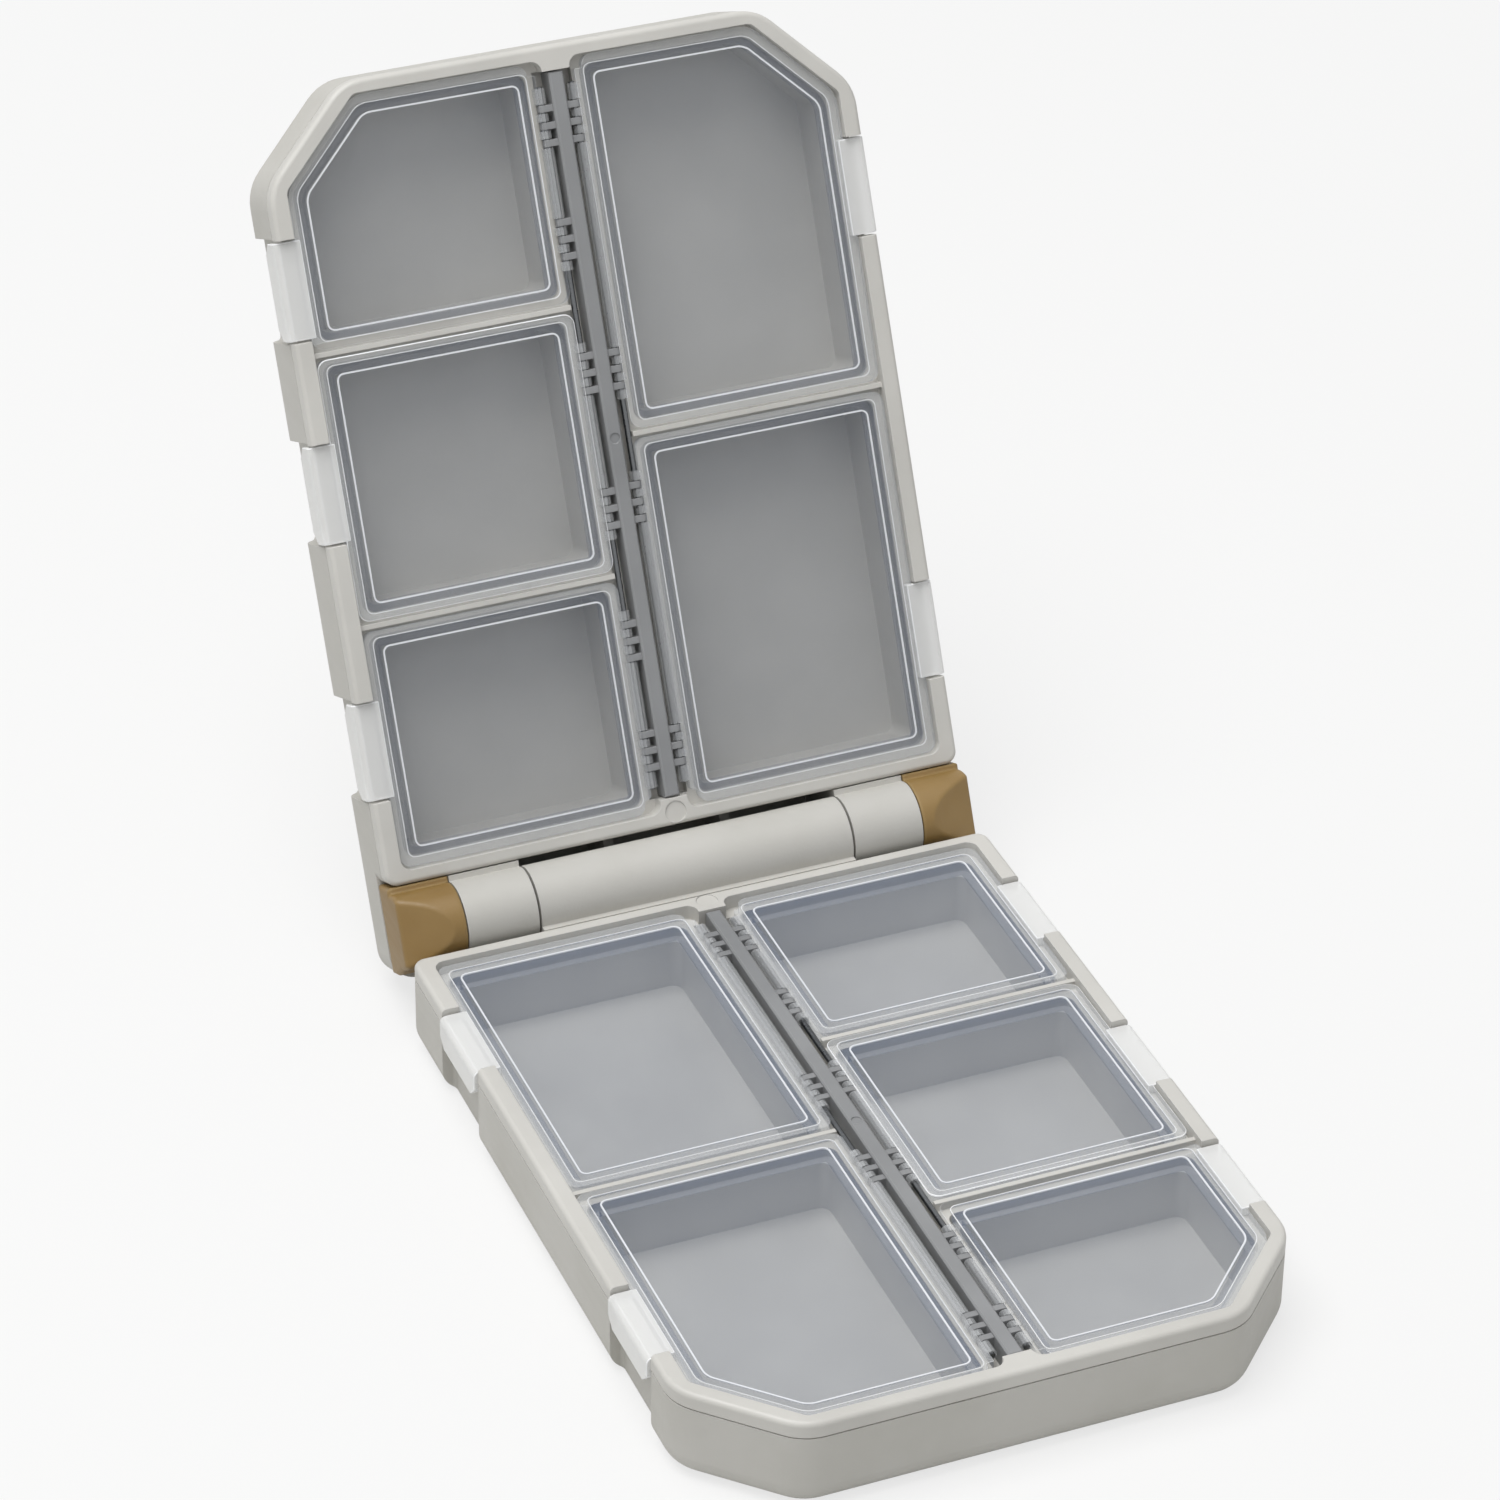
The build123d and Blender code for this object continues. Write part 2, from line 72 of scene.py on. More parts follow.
# %% [markdown]
# ## Colour and node helpers
# Colours are written as they look on a screen, in sRGB hex, but a shader works in linear light, so
# one function turns them round. A second one adds any node with its settings and its incoming
# links, which keeps each material a short list that reads from the pattern to the surface.

# %% Helpers for materials


def linear(code):
    """An sRGB hex colour as the linear colour that a shader reads."""
    parts = [int(code[i : i + 2], 16) / 255 for i in (1, 3, 5)]
    return [c / 12.92 if c <= 0.04045 else ((c + 0.055) / 1.055) ** 2.4 for c in parts] + [1.0]


def add_node(tree, kind, settings=None, links=None):
    """Add a node. Settings name its inputs or its own options, and links give {input: output}."""
    node = tree.nodes.new(kind)
    for key, value in (settings or {}).items():
        if isinstance(key, int) or key in node.inputs:
            node.inputs[key].default_value = value
        else:
            setattr(node, key, value)
    for key, source in (links or {}).items():
        tree.links.new(source, node.inputs[key])
    return node


def new_material(name):
    """A material with only its output node, its node tree, and the place on the piece."""
    material = bpy.data.materials.new(name)
    material.use_nodes = True
    material.node_tree.nodes.clear()
    output = add_node(material.node_tree, "ShaderNodeOutputMaterial")
    place = add_node(material.node_tree, "ShaderNodeTexCoord").outputs["Object"]
    return material, material.node_tree, output, place


print("the middle grey #808080 is", round(linear("#808080")[0], 3), "in linear light")

# %% [markdown]
# ## Edges that catch the light
# No moulded edge is truly sharp. The CAD meshes stay as they are, so no bevel is cut into them:
# the Bevel node turns only their shading normals, in a narrow band along each edge. Where the
# turned normal leaves the flat one, an edge is near, and that gives a mask for paler edges as well.

# %% Rounded edges
EDGE_MM, EDGE_SAMPLES = 0.14, 4
OPEN_FACE, FULL_EDGE = 0.99, 0.8  # the cosine between the two normals


def edge_normal_and_mask(tree, edge_mm):
    """The rounded normal of a Bevel node, and a value that is 1 on edges and 0 on open faces."""
    settings = {"samples": EDGE_SAMPLES, "Radius": edge_mm * MM}
    rounded = add_node(tree, "ShaderNodeBevel", settings).outputs["Normal"]
    flat = add_node(tree, "ShaderNodeNewGeometry").outputs["True Normal"]
    dot = {"operation": "DOT_PRODUCT"}
    match = add_node(tree, "ShaderNodeVectorMath", dot, {0: rounded, 1: flat})
    mask = add_node(
        tree,
        "ShaderNodeMapRange",
        {"From Min": OPEN_FACE, "From Max": FULL_EDGE, "To Min": 0.0, "To Max": 1.0},
        {"Value": match.outputs["Value"]},
    )
    return rounded, mask.outputs["Result"]


print("edges are rounded over", EDGE_MM, "mm")

# %% [markdown]
# ## Grained ABS for the outer shells
# The shells are injection-moulded ABS from a spark-eroded mould, which leaves a fine matte grain.
# The real grain is about 0.1 mm, too fine to show, so it is drawn at about 0.35 mm. Wide soft
# noise makes the grey drift a little, a stretched noise adds a few faint rub marks, and the edges
# are drawn a little paler.

# %% Grained ABS
SHELL_GRAIN = (0.35, 0.05)  # width and depth, in millimetres
DRIFT_MM, DRIFT_RANGE = 14, (0.35, 0.65)
RUB_MM, RUB_STRETCH, RUB_TURN = 1.6, (1.0, 0.12, 1.0), (0.3, 0.2, 0.7)
RUB_STARTS, RUB_FULL, RUB_ROUGHER, RUB_SMOOTHER = 0.35, 0.75, 0.06, 0.08
GRAIN_STRENGTH, ABS_IOR = 0.35, 1.53


def moulded_abs(name, pale, deep, edge_tone, roughness, grain, edge_mm=EDGE_MM):
    """Moulded ABS: a drift between two close colours, a fine grain, rub marks and paler edges."""
    grain_mm, grain_depth_mm = grain
    material, tree, output, place = new_material(name)
    rounded, edge = edge_normal_and_mask(tree, edge_mm)
    drift = add_node(
        tree,
        "ShaderNodeTexNoise",
        {"Scale": 1 / (DRIFT_MM * MM), "Detail": 3.0, "Roughness": 0.55},
        {"Vector": place},
    )
    body = add_node(tree, "ShaderNodeValToRGB", links={"Fac": drift.outputs["Fac"]})
    for stop, position, code in zip(body.color_ramp.elements, DRIFT_RANGE, (deep, pale)):
        stop.position, stop.color = position, linear(code)
    colour = add_node(
        tree,
        "ShaderNodeMix",
        {"data_type": "RGBA", 7: linear(edge_tone)},
        {0: edge, 6: body.outputs["Color"]},
    )
    stretch = {"Scale": RUB_STRETCH, "Rotation": RUB_TURN}
    stretched = add_node(tree, "ShaderNodeMapping", stretch, {"Vector": place})
    rubs = add_node(
        tree,
        "ShaderNodeTexNoise",
        {"Scale": 1 / (RUB_MM * MM), "Detail": 2.0},
        {"Vector": stretched.outputs["Vector"]},
    )
    shine = add_node(
        tree,
        "ShaderNodeMapRange",
        {
            "From Min": RUB_STARTS,
            "From Max": RUB_FULL,
            "To Min": roughness + RUB_ROUGHER,
            "To Max": roughness - RUB_SMOOTHER,
        },
        {"Value": rubs.outputs["Fac"]},
    )
    relief = add_node(
        tree,
        "ShaderNodeTexNoise",
        {"Scale": 1 / (grain_mm * MM), "Detail": 2.0, "Roughness": 0.6},
        {"Vector": place},
    )
    bump = add_node(
        tree,
        "ShaderNodeBump",
        {"Strength": GRAIN_STRENGTH, "Distance": grain_depth_mm * MM},
        {"Height": relief.outputs["Fac"], "Normal": rounded},
    )
    surface = add_node(
        tree,
        "ShaderNodeBsdfPrincipled",
        {"IOR": ABS_IOR},
        {
            "Base Color": colour.outputs[2],
            "Roughness": shine.outputs["Result"],
            "Normal": bump.outputs["Normal"],
        },
    )
    tree.links.new(surface.outputs["BSDF"], output.inputs["Surface"])
    return material


shell_abs = moulded_abs(
    "abs_spark_grained_grey", "#C3C1BB", "#BDBBB4", "#D4D2CE", roughness=0.58, grain=SHELL_GRAIN
)
print("grained ABS: grain drawn at", SHELL_GRAIN[0], "mm")

# %% [markdown]
# ## Satin ABS for the trays, and two more colours
# The trays come from a smoother mould in the same grey, so the same recipe gets a finer grain and
# less roughness. The spine bars are a darker grey. The hinge caps are a leather brown with a
# coarser grain. Their edges are rounder too, which a wider edge radius shows without new faces.

# %% Satin, dark and brown ABS
SATIN_GRAIN, CAP_GRAIN, CAP_EDGE_MM = (0.25, 0.02), (0.45, 0.06), 0.6
tray_abs = moulded_abs(
    "abs_satin_pale_grey", "#CDCBC5", "#C5C3BD", "#E0DEDA", roughness=0.42, grain=SATIN_GRAIN
)
bar_abs = moulded_abs(
    "abs_satin_mid_grey", "#8F9091", "#848586", "#A4A5A6", roughness=0.4, grain=SATIN_GRAIN
)
cap_abs = moulded_abs(
    "abs_grained_brown",
    "#917544",
    "#856938",
    "#AB905F",
    roughness=0.44,
    grain=CAP_GRAIN,
    edge_mm=CAP_EDGE_MM,
)
print("made", [material.name for material in (tray_abs, bar_abs, cap_abs)])

# %% [markdown]
# ## Clear polystyrene for the lids
# The lids are thin clear polystyrene, and the compartments show through them softly, cooler and
# darker than they are. Real refraction inside forty thin walls would cost many samples and add
# little, so each face lets most light straight through and keeps a share of its own colour. The
# sheet's top keeps a faint milky haze, tinted blue as a painted cool reflection. Over the
# compartments the underside is a dark blue-grey, painted shade that makes them cooler and darker,
# and over the pale tray the border is a paler copy of the sheet, painted light. Each share grows
# where the eye looks along the face, as the mirror effect of any sheet does.

# %% Clear, frosted and painted edge-highlight polystyrene, with painted shade and light
NOISE_LOW, NOISE_HIGH = 0.3, 0.7  # most values of a noise lie between these
SMUDGE_MM, SMUDGE_ROUGHER = 9, 0.08
GRAZING_BLEND, POLYSTYRENE_IOR = 0.35, 1.59


def clear_plastic(name, colour_code, facing_share, grazing_share, roughness):
    """Clear plastic: facing_share of it is seen face on, and grazing_share along the surface."""
    material, tree, output, place = new_material(name)
    smudge = add_node(
        tree,
        "ShaderNodeTexNoise",
        {"Scale": 1 / (SMUDGE_MM * MM), "Detail": 4.0},
        {"Vector": place},
    )
    shine = add_node(
        tree,
        "ShaderNodeMapRange",
        {
            "From Min": NOISE_LOW,
            "From Max": NOISE_HIGH,
            "To Min": roughness,
            "To Max": roughness + SMUDGE_ROUGHER,
        },
        {"Value": smudge.outputs["Fac"]},
    )
    tilt = add_node(tree, "ShaderNodeLayerWeight", {"Blend": GRAZING_BLEND})
    share = add_node(
        tree,
        "ShaderNodeMapRange",
        {"From Min": 0.0, "From Max": 1.0, "To Min": facing_share, "To Max": grazing_share},
        {"Value": tilt.outputs["Facing"]},
    )
    surface = add_node(
        tree,
        "ShaderNodeBsdfPrincipled",
        {"IOR": POLYSTYRENE_IOR, "Base Color": linear(colour_code)},
        {"Roughness": shine.outputs["Result"], "Alpha": share.outputs["Result"]},
    )
    tree.links.new(surface.outputs["BSDF"], output.inputs["Surface"])
    return material


# Each has its name and colour, its share face on and along the face, and its roughness.
lid_finishes = [
    # The top's faint blue haze is partly the sheet's milky look and partly a painted cool
    # reflection.
    clear_plastic("polystyrene_clear_top_painted_cool_reflection", "#A2AEC4", 0.06, 0.32, 0.06),
    # The underside's dark blue-grey is painted shade, darkening the compartments seen through it.
    clear_plastic("polystyrene_underside_painted_shade", "#687488", 0.15, 0.40, 0.10),
    # The border's pale haze is painted light, a paler copy of the sheet where it lies over the
    # tray.
    clear_plastic("polystyrene_border_painted_light", "#E4E6E7", 0.22, 0.42, 0.12),
    clear_plastic("polystyrene_frosted_tab", "#F6F6F4", 0.56, 0.84, 0.32),
    # The near-white edge finish is a painted highlight on the bright lines and cut edges.
    clear_plastic("polystyrene_painted_edge_highlight", "#FAFBFC", 0.90, 0.98, 0.2),
]
CLEAR, PAINTED_SHADE_UNDER, PAINTED_LIGHT_BORDER, FROSTED, PAINTED_HIGHLIGHT_EDGE = range(len(lid_finishes))
print("made", len(lid_finishes), "finishes of polystyrene for the lids")

# %% [markdown]
# ## Drawn steel for the pins and the axle
# The lid pins and the hinge axle are drawn spring wire, dark from the drawing oil. They hardly
# show beside the bar, and a metal base with a little uneven roughness is all that they need.

# %% Drawn steel
MARK_MM, STEEL_SMOOTH, STEEL_ROUGH = 0.3, 0.25, 0.4
steel, tree, output, place = new_material("steel_drawn_wire")
marks = add_node(
    tree,
    "ShaderNodeTexNoise",
    {"Scale": 1 / (MARK_MM * MM), "Detail": 2.0},
    {"Vector": place},
)
shine = add_node(
    tree,
    "ShaderNodeMapRange",
    {
        "From Min": NOISE_LOW,
        "From Max": NOISE_HIGH,
        "To Min": STEEL_SMOOTH,
        "To Max": STEEL_ROUGH,
    },
    {"Value": marks.outputs["Fac"]},
)
surface = add_node(
    tree,
    "ShaderNodeBsdfPrincipled",
    {"Metallic": 1.0, "Base Color": linear("#6A6C6E")},
    {"Roughness": shine.outputs["Result"]},
)
tree.links.new(surface.outputs["BSDF"], output.inputs["Surface"])
print("made", steel.name)

# %% [markdown]
# ## Finishes for the CAD pieces
# A CAD node keeps its mesh, and only its material slot is filled. The names say which finish each
# node gets, so one table of name endings covers both halves.

# %% Finish the CAD nodes
finishes = {
    "_shell": shell_abs,
    "_tray": tray_abs,
    "_spine_bar": bar_abs,
    "_hinge_cap": cap_abs,
    "_pin": steel,
    "_axle": steel,
}
for name, node in nodes.items():
    for ending, material in finishes.items():
        if name.endswith(ending):
            node.data.materials.clear()
            node.data.materials.append(material)
print("finished", sum(name.endswith(tuple(finishes)) for name in nodes), "CAD nodes")

# %% [markdown]
# ## The two halves
# Both halves have the same lids. It is easiest to model a lid lying flat in its own half, with X
# across, Y outwards from the hinge and Z up out of the compartments, and then to carry it into
# place with one matrix per half. The hinge axis is where both matrices put their zero.

# %% Half frames
HINGE = Vector((0, 52.0, 12.0)) * MM
OPEN = math.radians(116.0)


def half_matrix(across, outward, out):
    """The matrix that carries a half's own X, Y and Z in millimetres to the row frame in metres."""
    turn = Matrix((across, outward, out)).transposed().to_4x4()
    return Matrix.Translation(HINGE) @ turn @ Matrix.Scale(MM, 4)


half_places = {
    "lower": half_matrix(Vector((-1, 0, 0)), Vector((0, -1, 0)), Vector((0, 0, 1))),
    "upper": half_matrix(
        Vector((1, 0, 0)),
        Vector((0, -math.cos(OPEN), math.sin(OPEN))),
        Vector((0, -math.sin(OPEN), -math.cos(OPEN))),
    ),
}
print("hinge axis at", [round(v, 4) for v in HINGE])

# %% [markdown]
# ## Outlines and walls
# A lid is a few closed mouldings in one mesh: the plate, the rib under it, the roll round its pin
# and the tab. Most start as a flat outline of a few points. A vertex bevel rounds each corner by
# its own amount, which saves working out the points of an arc, and an extrusion adds the walls.

# %% Outlines and walls
CORNER_SEGMENTS = 5


def rounded_outline(bm, corners, height):
    """A flat face at a height. Its corners are given as (x, y, rounding) and come out rounded."""
    before = set(bm.faces)
    points = [bm.verts.new((x, y, height)) for x, y, _ in corners]
    face = bm.faces.new(points)
    face.normal_update()
    if face.normal.z < 0:
        face.normal_flip()
    for rounding in sorted({corner[2] for corner in corners}, reverse=True):
        bmesh.ops.bevel(
            bm,
            geom=[v for v, corner in zip(points, corners) if corner[2] == rounding],
            offset=rounding,
            offset_type="OFFSET",
            segments=CORNER_SEGMENTS,
            profile=0.5,
            affect="VERTICES",
            material=-1,
            clamp_overlap=True,
        )
    return next(f for f in bm.faces if f not in before)


def drop_walls(bm, faces, drop):
    """Extrude flat faces straight down by drop, which closes the solid."""
    grown = bmesh.ops.extrude_face_region(bm, geom=faces, use_keep_orig=True)["geom"]
    low = [v for v in grown if isinstance(v, bmesh.types.BMVert)]
    bmesh.ops.translate(bm, verts=low, vec=(0, 0, -drop))
    bmesh.ops.recalc_face_normals(bm, faces=bm.faces[:])


print("each rounded corner has", CORNER_SEGMENTS, "steps")

# %% [markdown]
# ## Softened edges and zones
# A sharp edge catches no light, so finished pieces get a fine bevel. A Bevel modifier would do
# that too, but picking the edges here gives the cut edge of a sheet its painted highlight, a
# near-white finish, in the same step. A sheet also looks different from one zone to the next, so a
# second outline cuts its face in two. Insetting the face would be shorter, but an inset wider than
# a corner's rounding crosses itself at that corner.

# %% Softened edges and zones
EDGE_SEGMENTS, SHARP = 2, math.radians(40)


def soften(bm, width, edges, material=-1, segments=EDGE_SEGMENTS):
    """Round or cut the given edges over a width."""
    if edges:
        bmesh.ops.bevel(
            bm,
            geom=edges,
            offset=width,
            offset_type="OFFSET",
            segments=segments,
            profile=0.5,
            affect="EDGES",
            material=material,
            clamp_overlap=True,
        )


def sharp_edges(bm):
    """The edges where two faces meet at a clear angle."""
    return [e for e in bm.edges if len(e.link_faces) == 2 and e.calc_face_angle(0) > SHARP]


def cut_zone(bm, face, corners, border_finish, middle_finish):
    """Cut a flat face into a border and a middle with rounded corners, each with its own finish."""
    height, normal, edges = face.calc_center_median().z, face.normal.copy(), face.edges[:]
    bmesh.ops.delete(bm, geom=[face], context="FACES_ONLY")
    middle = rounded_outline(bm, corners, height)
    edges += middle.edges[:]
    filled = bmesh.ops.triangle_fill(bm, use_beauty=True, edges=edges, normal=normal)["geom"]
    for border in filled:
        if isinstance(border, bmesh.types.BMFace):
            border.material_index = border_finish
    middle.material_index = middle_finish


print("edges count as sharp above", round(math.degrees(SHARP)), "degrees")

# %% [markdown]
# ## Where the windows are
# Each half has three small lids at negative X and two large ones at positive X. A window is the
# clear middle of a lid, and everything else on the lid is measured out from it, which is shorter
# than ten drawings. The outermost lid of each column has the box's cut corner.

# %% Windows, in millimetres
WINDOW_IN, WINDOW_OUT, WINDOW_LEG = 4.35, 32.0, 8.4
# Each window's start, its end, and the middle of its tab, along the half.
SMALL_WINDOWS = {
    "inner": (9.0, 33.4, 21.3),
    "middle": (37.9, 65.3, 51.6),
    "outer": (69.8, 94.2, 75.3),
}
LARGE_WINDOWS = {"inner": (9.0, 49.4, 21.8), "outer": (53.9, 94.2, 75.3)}
LEG_GROWTH = 2 - math.sqrt(2)  # a cut corner's legs grow by this for each millimetre of grow


def window_outline(side, window, grow, last, rounding):
    """The window's corners, grown all round; the last lid's outer far corner is cut off."""
    x_in, x_out = side * (WINDOW_IN - grow), side * (WINDOW_OUT + grow)
    y_start, y_end = window[0] - grow, window[1] + grow
    far = [(x_out, y_end, rounding)]
    if last:
        leg = WINDOW_LEG + grow * LEG_GROWTH
        far = [(x_out, y_end - leg, rounding), (x_out - side * leg, y_end, rounding)]
    return [(x_in, y_start, rounding), (x_out, y_start, rounding), *far, (x_in, y_end, rounding)]


print("windows in each half:", len(SMALL_WINDOWS) + len(LARGE_WINDOWS))

# %% [markdown]
# ## The outline of a plate
# A plate laps over the tray's ledge all round its window, a little less towards the next lid.
# Where the spine bar ends, the plate's inner corner steps back, because it would strike the tray
# there when the lid swings. Cutting the step out later would need a Boolean, so the outline has it.

# %% Plate outline
LAP, LAP_NEXT = 1.9, 1.65
LID_ROUND, STEP_ROUND = 1.3, 0.45
PLATE_IN, CORNER_IN = 2.45, 3.4  # the plate's inner edge, beside the bar and stepped back
STRIP_START, STRIP_END = 8.85, 94.65  # between these the plate may come up to the bar


def plate_outline(side, window, first, last):
    """The plate's corners, with the inner corner of the first and the last lid stepped back."""
    y_start = window[0] - (LAP if first else LAP_NEXT)
    y_end = window[1] + (LAP if last else LAP_NEXT)
    x_in, x_step, x_out = side * PLATE_IN, side * CORNER_IN, side * (WINDOW_OUT + LAP)
    near = [(x_in, y_start, LID_ROUND)]
    if first:
        near = [(x_in, STRIP_START, STEP_ROUND), (x_step, STRIP_START, STEP_ROUND)]
        near += [(x_step, y_start, LID_ROUND)]
    far, back = [(x_out, y_end, LID_ROUND)], [(x_in, y_end, LID_ROUND)]
    if last:
        leg = WINDOW_LEG + LAP * LEG_GROWTH
        far = [(x_out, y_end - leg, LID_ROUND), (x_out - side * leg, y_end, LID_ROUND)]
        back = [(x_step, y_end, LID_ROUND), (x_step, STRIP_END, STEP_ROUND)]
        back += [(x_in, STRIP_END, STEP_ROUND)]
    return [*near, (x_out, y_start, LID_ROUND), *far, *back]


print("plates lap", LAP, "mm over the ledge, and", LAP_NEXT, "mm towards the next lid")

# %% [markdown]
# ## The plate
# The plate is a flat sheet about a millimetre thick. It looks different in two zones: its border
# lies close over the pale tray, and everything inside the rib looks down into the dark
# compartment. So its top and its bottom are both cut into zones: the border gets a paler copy of
# the clear finish, which is painted light, and the middle of the underside a darker one, which is
# painted shade. Its top rim gets the painted highlight of a cut edge.

# %% Plate
LID_TOP, LID_THICK = -0.8, 1.1
ZONE_OUT, PLATE_SOFTENING = 0.8, 0.12
NEAR = 0.01  # heights closer than this are the same, in millimetres


def lid_plate(side, window, first, last):
    """The sheet of a lid, in its zones."""
    bm = bmesh.new()
    top = rounded_outline(bm, plate_outline(side, window, first, last), LID_TOP)
    drop_walls(bm, [top], LID_THICK)
    rim = [e for e in sharp_edges(bm) if min(v.co.z for v in e.verts) > LID_TOP - NEAR]
    # The top rim's bevel gets the painted highlight.
    soften(bm, PLATE_SOFTENING, rim, PAINTED_HIGHLIGHT_EDGE)
    top = max(bm.faces, key=lambda f: (round(f.calc_center_median().z, 3), f.calc_area()))
    middle = window_outline(side, window, ZONE_OUT, last, LID_ROUND)
    # The top's border gets the paler copy of the sheet, painted light.
    cut_zone(bm, top, middle, PAINTED_LIGHT_BORDER, CLEAR)
    low = min(bm.faces, key=lambda f: (round(f.calc_center_median().z, 3), -f.calc_area()))
    # The underside's middle gets the darker copy, painted shade over the compartment; its border is
    # painted light.
    cut_zone(bm, low, middle, PAINTED_LIGHT_BORDER, PAINTED_SHADE_UNDER)
    bmesh.ops.recalc_face_normals(bm, faces=bm.faces[:])
    return bm


print("plate", LID_THICK, "mm thick")

# %% [markdown]
# ## The rib
# A rib under the plate runs round the window and keeps the lid stiff and centred. It is a closed
# ring: the window's outline is inset once, the middle is deleted, and the band that is left is
# extruded. Cutting a smaller block out of a larger one with a Boolean would give the same ring
# with a less tidy mesh.

# %% Rib
LID_LOW = LID_TOP - LID_THICK
RIB_OUT, RIB_WIDTH, RIB_DROP = 0.85, 1.15, 1.1
RIB_GAP = 0.01  # the rib stays this far under the plate, so that no two faces share a plane


def window_ring(side, window, last, grow, width, top, drop, rounding, finish):
    """A closed ring that follows the window: width wide, inwards from grow outside its edge."""
    bm = bmesh.new()
    inner = rounded_outline(bm, window_outline(side, window, grow, last, rounding), top)
    grown = bmesh.ops.inset_region(
        bm, faces=[inner], thickness=width, use_boundary=True, use_even_offset=True
    )
    ring = grown["faces"]
    bmesh.ops.delete(bm, geom=[inner], context="FACES")
    drop_walls(bm, ring, drop)
    for face in bm.faces:
        face.material_index = finish
    return bm


def lid_rib(side, window, last):
    """The rib under the plate."""
    top = LID_LOW - RIB_GAP
    return window_ring(side, window, last, RIB_OUT, RIB_WIDTH, top, RIB_DROP, LID_ROUND, CLEAR)


print("rib", RIB_DROP, "mm deep")

# %% [markdown]
# ## The bright lines
# The two corners where the rib meets the sheet glow as thin white lines, the inner one wider. Real
# light would have to be bent inside the plastic for that, so each line gets a strip of its own
# inside the sheet instead.

# %% Bright lines
WINDOW_ROUND = 0.9
LINES = ((0.2, -0.2), (0.1, RIB_OUT + 0.03))  # width, and the outer side's place off the window
LINE_TOP, LINE_DROP = -0.83, 0.15


def bright_line(side, window, last, width, grow):
    """A thin bright line round the window, width wide inwards from grow outside its edge."""
    # Each line is a painted highlight in the near-white edge finish.
    return window_ring(side, window, last, grow, width, LINE_TOP, LINE_DROP, WINDOW_ROUND, PAINTED_HIGHLIGHT_EDGE)


print("bright lines", [width for width, _ in LINES], "mm wide")

# %% [markdown]
# ## The latch tab
# The tab folds down over the tray's edge. It is a bent strip: its profile is drawn across the lid,
# the fold is rounded by a vertex bevel, and the profile is extruded along the edge. A flat strip
# bent by a modifier would need many cuts to bend as cleanly. A bead on its inside is what snaps
# under the tray's lip.

# %% Latch tab
TAB_LENGTH, TAB_OUT, TAB_THICK, TAB_SHOULDER = 11.4, 36.6, 0.95, 0.8
TAB_BOTTOM, TAB_CORNER, TAB_ROOT, TAB_PROUD = -4.6, 1.3, 0.6, 0.02
BEAD_MIDDLE, BEAD_SIZE, BEAD_SEGMENTS = -3.75, 0.4, 12


def lid_tab(side, window):
    """The folded latch tab, with the bead that snaps under the tray's lip."""
    bm = bmesh.new()
    start = window[2] - TAB_LENGTH / 2
    x_in, x_face = WINDOW_OUT + LAP - TAB_ROOT, TAB_OUT - TAB_THICK
    top = LID_TOP + TAB_PROUD
    profile = [(x_in, top), (TAB_OUT, top), (TAB_OUT, TAB_BOTTOM), (x_face, TAB_BOTTOM)]
    profile += [(x_face, LID_LOW), (x_in, LID_LOW)]
    corners = [bm.verts.new((side * x, start, z)) for x, z in profile]
    bm.faces.new(corners)
    bmesh.ops.bevel(
        bm,
        geom=[corners[1]],
        offset=TAB_SHOULDER,
        offset_type="OFFSET",
        segments=CORNER_SEGMENTS,
        profile=0.5,
        affect="VERTICES",
        material=-1,
    )
    face = max(bm.faces, key=lambda f: f.calc_area())
    grown = bmesh.ops.extrude_face_region(bm, geom=[face], use_keep_orig=True)["geom"]
    moved = [v for v in grown if isinstance(v, bmesh.types.BMVert)]
    bmesh.ops.translate(bm, verts=moved, vec=(0, TAB_LENGTH, 0))
    bmesh.ops.recalc_face_normals(bm, faces=bm.faces[:])
    lower_corners = [
        e
        for e in bm.edges
        if all(v.co.z < TAB_BOTTOM + NEAR for v in e.verts)
        and abs(e.verts[0].co.y - e.verts[1].co.y) < NEAR
    ]
    soften(bm, TAB_CORNER, lower_corners, segments=1)
    # The tab's cut edges get the painted highlight too.
    soften(bm, PLATE_SOFTENING, sharp_edges(bm), PAINTED_HIGHLIGHT_EDGE)
    bead = bmesh.ops.create_cone(
        bm,
        cap_ends=True,
        segments=BEAD_SEGMENTS,
        radius1=BEAD_SIZE / 2,
        radius2=BEAD_SIZE / 2,
        depth=TAB_LENGTH - 2 * TAB_CORNER,
    )["verts"]
    bmesh.ops.rotate(bm, verts=bead, matrix=Matrix.Rotation(math.pi / 2, 3, "X"))
    bmesh.ops.translate(bm, verts=bead, vec=(side * x_face, window[2], BEAD_MIDDLE))
    for face in bm.faces:
        if face.material_index == CLEAR:
            face.material_index = FROSTED
    return bm


print("latch tabs", TAB_LENGTH, "mm long, with a bead", BEAD_SIZE, "mm thick")

# %% [markdown]
# ## The roll
# Each lid turns on a pin that the bar's lugs carry. Its roll sits round the pin in short lengths
# between the lugs, and a neck joins each length to the plate. The pin is hidden inside, so a plain
# closed cylinder is enough where a bored one would only add faces.

# %% Roll
PIN_X, PIN_Z, ROLL_R, ROLL_SEGMENTS = 2.0, -1.35, 0.6, 20
NECK_OUT, NECK_THICK, NECK_PROUD = 2.75, LID_THICK - 0.1, 0.01
LUG_SLOT, LUG_PITCH, LUG_COUNT = 1.1, 2.0, 3
ROLL_INSET_OUTER, ROLL_INSET_INNER = 3.0, 3.7  # from the lid's end, at a column's end and inside
LUG_FROM_OUTER, LUG_FROM_INNER = 2.4, 1.6  # from the roll's end to its nearest lug


